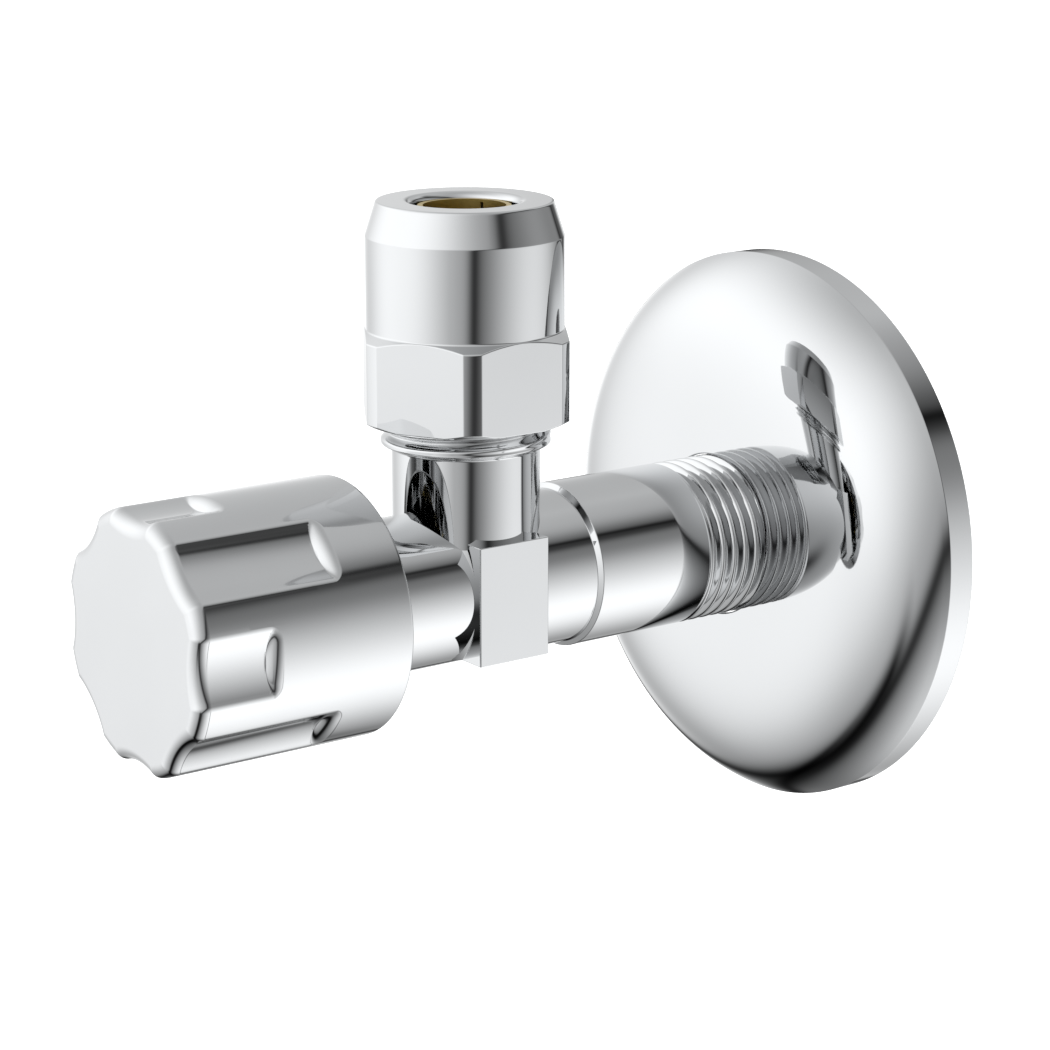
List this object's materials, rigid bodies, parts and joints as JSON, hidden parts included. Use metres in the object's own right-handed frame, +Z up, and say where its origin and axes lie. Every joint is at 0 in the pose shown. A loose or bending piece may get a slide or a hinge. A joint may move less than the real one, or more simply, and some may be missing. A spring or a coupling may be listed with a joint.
{
  "type": "angle valve",
  "caption": "Chromed angle valve: fluted knob, threaded inlet tail with a sliding wall rosette, and an upright compression outlet with a union nut.",
  "frame": {"origin": "on the inlet axis, in the plane of the wall that the rosette's rim touches", "axes": "+Y along the inlet thread into the wall, +Z up along the outlet, +X towards the side with the flat pad"},
  "size_m": [0.0726, 0.1081, 0.0839],
  "materials": {
    "chromed_brass": "mirror chrome plating on brass",
    "chromed_sheet": "mirror chrome plating on pressed sheet",
    "chromed_plastic": "bright chrome plating on moulded plastic",
    "bare_brass": "plain turned brass",
    "black_rubber": "smooth moulded rubber",
    "white_plastic": "plain moulded plastic",
    "spring_steel": "plain stainless steel"
  },
  "bodies": {
    "valve": {"valve_body": "chromed_brass", "headwork_body": "bare_brass", "headwork_gasket": "black_rubber", "outlet_seal": "black_rubber", "thrust_washer": "bare_brass"},
    "handle": {"knob": "chromed_plastic", "knob_insert": "white_plastic", "spindle": "bare_brass", "spindle_o_ring_inner": "black_rubber", "spindle_o_ring_outer": "black_rubber", "glide_washer": "white_plastic", "retaining_ring": "spring_steel"},
    "cone": {"valve_cone": "bare_brass", "cone_o_ring": "black_rubber", "seat_washer": "black_rubber", "seat_screw": "spring_steel"},
    "ring": {"clamp_ring": "bare_brass"},
    "nut": {"union_nut": "chromed_brass"},
    "rosette": {"wall_rosette": "chromed_sheet"}
  },
  "joints": [
    {"name": "knob_turn", "type": "hinge", "parent": "valve", "child": "handle", "pos_m": [0, -0.0516, 0], "axis": [0, -1, 0], "range_deg": [0, 1080]},
    {"name": "cone_travel", "type": "slide", "parent": "valve", "child": "cone", "axis": [0, -1, 0], "range_m": [0, 0.0038]},
    {"name": "ring_lift", "type": "slide", "parent": "valve", "child": "ring", "axis": [0, 0, 1], "range_m": [0, 0.0055]},
    {"name": "nut_turn", "type": "hinge", "parent": "ring", "child": "nut", "pos_m": [0, -0.0516, 0], "axis": [0, 0, 1], "range_deg": [0, 1080]},
    {"name": "rosette_slide", "type": "slide", "parent": "valve", "child": "rosette", "axis": [0, -1, 0], "range_m": [0, 0.025]}
  ],
  "couplings": [
    {"joint": "cone_travel", "follows": "knob_turn", "m_per_rad": 0.00019894},
    {"joint": "ring_lift", "follows": "nut_turn", "m_per_rad": 0.00028871}
  ]
}
